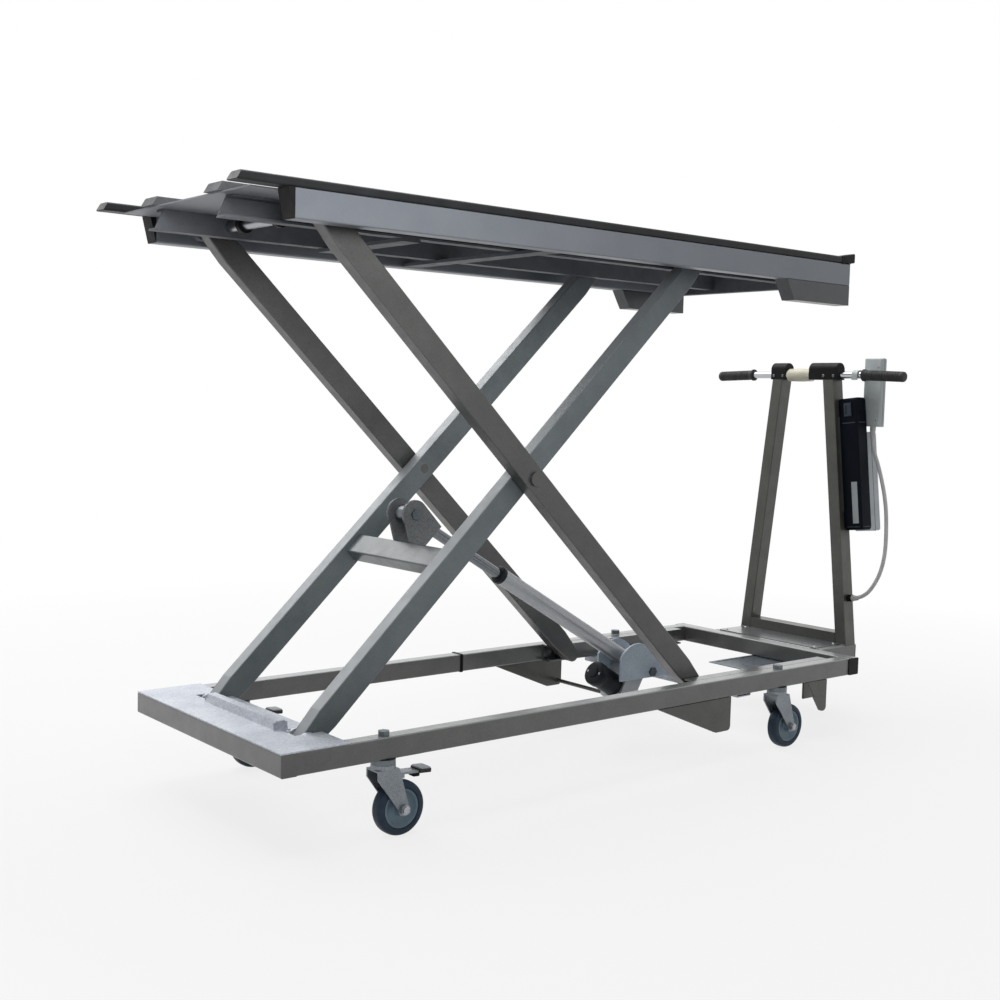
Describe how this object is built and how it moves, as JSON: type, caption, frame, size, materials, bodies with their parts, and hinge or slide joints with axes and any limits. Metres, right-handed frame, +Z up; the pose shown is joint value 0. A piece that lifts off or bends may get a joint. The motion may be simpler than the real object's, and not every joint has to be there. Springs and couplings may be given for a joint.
{
  "type": "funeral trolley",
  "caption": "Wheeled coffin trolley with an electric scissor lift, a narrow railed table, skids, braked swivel casters and a leaning push handle with battery and handset.",
  "frame": {"origin": "on the floor under the middle of the trolley's outer box, table raised", "axes": "+X along the trolley towards the push handle, +Z up, left side at -Y"},
  "size_m": [2.3372, 0.729, 1.4068],
  "materials": {
    "frame_paint": "satin",
    "arm_paint": "satin hammered",
    "zinc_steel": "zinc plated",
    "bright_steel": "ground",
    "table_alu": "brushed anodised",
    "black_plastic": "matt",
    "grip_rubber": "matt",
    "dark_panel": "satin",
    "actuator_grey": "cast satin",
    "motor_black": "satin",
    "chrome_bar": "polished",
    "wheel_navy": "matt",
    "battery_navy": "satin",
    "box_grey": "satin",
    "handset_grey": "satin",
    "button_light": "satin",
    "cable_grey": "satin"
  },
  "bodies": {
    "base": {"side_rails": "frame_paint", "base_bars": "frame_paint", "tail_tubes": "frame_paint", "tube_caps": "black_plastic", "front_deck_plate": "zinc_steel", "tail_deck_plate": "dark_panel", "arm_foot_brackets": "zinc_steel", "lower_pivot_shaft": "bright_steel", "base_tracks": "zinc_steel", "skid_plates": "frame_paint", "actuator_cross_tube": "frame_paint", "actuator_foot_bracket": "actuator_grey", "actuator_foot_pin": "zinc_steel", "caster_heads": "zinc_steel", "handle_frame": "frame_paint", "handlebar": "chrome_bar", "handlebar_clamps": "black_plastic", "handle_grips": "grip_rubber", "power_bracket": "zinc_steel", "battery_pack": "battery_navy", "control_box": "box_grey", "handset": "handset_grey", "cable_gland": "black_plastic", "handset_cable": "cable_grey"},
    "rising": {"rising_arms": "arm_paint", "arm_cross_tube": "arm_paint", "actuator_upper_bracket": "actuator_grey", "upper_bracket_bolts": "zinc_steel", "centre_pivot_pins": "bright_steel"},
    "falling": {"falling_arms": "arm_paint"},
    "table": {"table_side_rails": "table_alu", "table_end_plugs": "black_plastic", "edge_bars": "black_plastic", "table_tracks": "table_alu", "table_deck": "table_alu", "table_cross_bars": "table_alu", "upper_pivot_shaft": "bright_steel", "shaft_collars": "black_plastic", "pivot_lugs": "table_alu", "table_end_feet": "table_alu", "deck_bars": "table_alu"},
    "actuator": {"actuator_housing": "actuator_grey", "actuator_motor": "motor_black"},
    "push_rod": {"actuator_rod": "bright_steel"},
    "up_key": {"up_button": "button_light"},
    "down_key": {"down_button": "button_light"},
    "base_roller_left": {"base_roller_left": "bright_steel"},
    "table_roller_left": {"table_roller_left": "bright_steel"},
    "base_roller_right": {"base_roller_right": "bright_steel"},
    "table_roller_right": {"table_roller_right": "bright_steel"},
    "fork_front_left": {"caster_fork_front_left": "zinc_steel"},
    "wheel_front_left": {"caster_wheel_front_left": "wheel_navy"},
    "pedal_front_left": {"brake_pedal_front_left": "zinc_steel"},
    "fork_front_right": {"caster_fork_front_right": "zinc_steel"},
    "wheel_front_right": {"caster_wheel_front_right": "wheel_navy"},
    "pedal_front_right": {"brake_pedal_front_right": "zinc_steel"},
    "fork_rear_left": {"caster_fork_rear_left": "zinc_steel"},
    "wheel_rear_left": {"caster_wheel_rear_left": "wheel_navy"},
    "fork_rear_right": {"caster_fork_rear_right": "zinc_steel"},
    "wheel_rear_right": {"caster_wheel_rear_right": "wheel_navy"}
  },
  "joints": [
    {"name": "lift", "type": "hinge", "parent": "base", "child": "rising", "pos_m": [-0.92225, 0, 0.205], "axis": [0, -1, 0], "range_deg": [-35.6, 0]},
    {"name": "scissor_cross", "type": "hinge", "parent": "rising", "child": "falling", "pos_m": [-0.31612, 0, 0.78221], "axis": [0, -1, 0], "range_deg": [0, 71.2]},
    {"name": "table_level", "type": "hinge", "parent": "falling", "child": "table", "pos_m": [-0.92225, 0, 1.35942], "axis": [0, -1, 0], "range_deg": [-35.6, 0]},
    {"name": "actuator_tilt", "type": "hinge", "parent": "base", "child": "actuator", "pos_m": [0.34375, 0, 0.196], "axis": [0, -1, 0], "range_deg": [0, 16.45]},
    {"name": "actuator_extend", "type": "slide", "parent": "actuator", "child": "push_rod", "axis": [-0.8673, 0, 0.4977], "range_m": [-0.31175, 0]},
    {"name": "base_roller_left_spin", "type": "hinge", "parent": "falling", "child": "base_roller_left", "pos_m": [0.29001, -0.288, 0.205], "axis": [0, 1, 0], "continuous": true},
    {"name": "table_roller_left_spin", "type": "hinge", "parent": "rising", "child": "table_roller_left", "pos_m": [0.29001, -0.171, 1.35942], "axis": [0, 1, 0], "continuous": true},
    {"name": "base_roller_right_spin", "type": "hinge", "parent": "falling", "child": "base_roller_right", "pos_m": [0.29001, 0.288, 0.205], "axis": [0, 1, 0], "continuous": true},
    {"name": "table_roller_right_spin", "type": "hinge", "parent": "rising", "child": "table_roller_right", "pos_m": [0.29001, 0.171, 1.35942], "axis": [0, 1, 0], "continuous": true},
    {"name": "caster_front_left_swivel", "type": "hinge", "parent": "base", "child": "fork_front_left", "pos_m": [-0.78825, -0.33, 0.158], "axis": [0, 0, 1], "continuous": true},
    {"name": "wheel_front_left_roll", "type": "hinge", "parent": "fork_front_left", "child": "wheel_front_left", "pos_m": [-0.74625, -0.33, 0.0625], "axis": [0, 1, 0], "continuous": true},
    {"name": "brake_pedal_front_left_press", "type": "hinge", "parent": "fork_front_left", "child": "pedal_front_left", "pos_m": [-0.76825, -0.33, 0.143], "axis": [0, 1, 0], "range_deg": [0, 8]},
    {"name": "caster_front_right_swivel", "type": "hinge", "parent": "base", "child": "fork_front_right", "pos_m": [-0.78825, 0.33, 0.158], "axis": [0, 0, 1], "continuous": true},
    {"name": "wheel_front_right_roll", "type": "hinge", "parent": "fork_front_right", "child": "wheel_front_right", "pos_m": [-0.74625, 0.33, 0.0625], "axis": [0, 1, 0], "continuous": true},
    {"name": "brake_pedal_front_right_press", "type": "hinge", "parent": "fork_front_right", "child": "pedal_front_right", "pos_m": [-0.76825, 0.33, 0.143], "axis": [0, 1, 0], "range_deg": [0, 8]},
    {"name": "caster_rear_left_swivel", "type": "hinge", "parent": "base", "child": "fork_rear_left", "pos_m": [0.56175, -0.33, 0.158], "axis": [0, 0, 1], "continuous": true},
    {"name": "wheel_rear_left_roll", "type": "hinge", "parent": "fork_rear_left", "child": "wheel_rear_left", "pos_m": [0.60375, -0.33, 0.0625], "axis": [0, 1, 0], "continuous": true},
    {"name": "caster_rear_right_swivel", "type": "hinge", "parent": "base", "child": "fork_rear_right", "pos_m": [0.56175, 0.33, 0.158], "axis": [0, 0, 1], "continuous": true},
    {"name": "wheel_rear_right_roll", "type": "hinge", "parent": "fork_rear_right", "child": "wheel_rear_right", "pos_m": [0.60375, 0.33, 0.0625], "axis": [0, 1, 0], "continuous": true},
    {"name": "up_button_press", "type": "slide", "parent": "base", "child": "up_key", "axis": [-1, 0, 0], "range_m": [0, 0.002], "stiffness_N_per_m": 300},
    {"name": "down_button_press", "type": "slide", "parent": "base", "child": "down_key", "axis": [-1, 0, 0], "range_m": [0, 0.002], "stiffness_N_per_m": 300}
  ],
  "couplings": [
    {"joint": "scissor_cross", "follows": "lift", "ratio": -2},
    {"joint": "table_level", "follows": "lift", "ratio": 1},
    {"joint": "actuator_tilt", "follows": "lift", "ratio": -0.46219},
    {"joint": "actuator_extend", "follows": "lift", "m_per_rad": 0.50172}
  ]
}
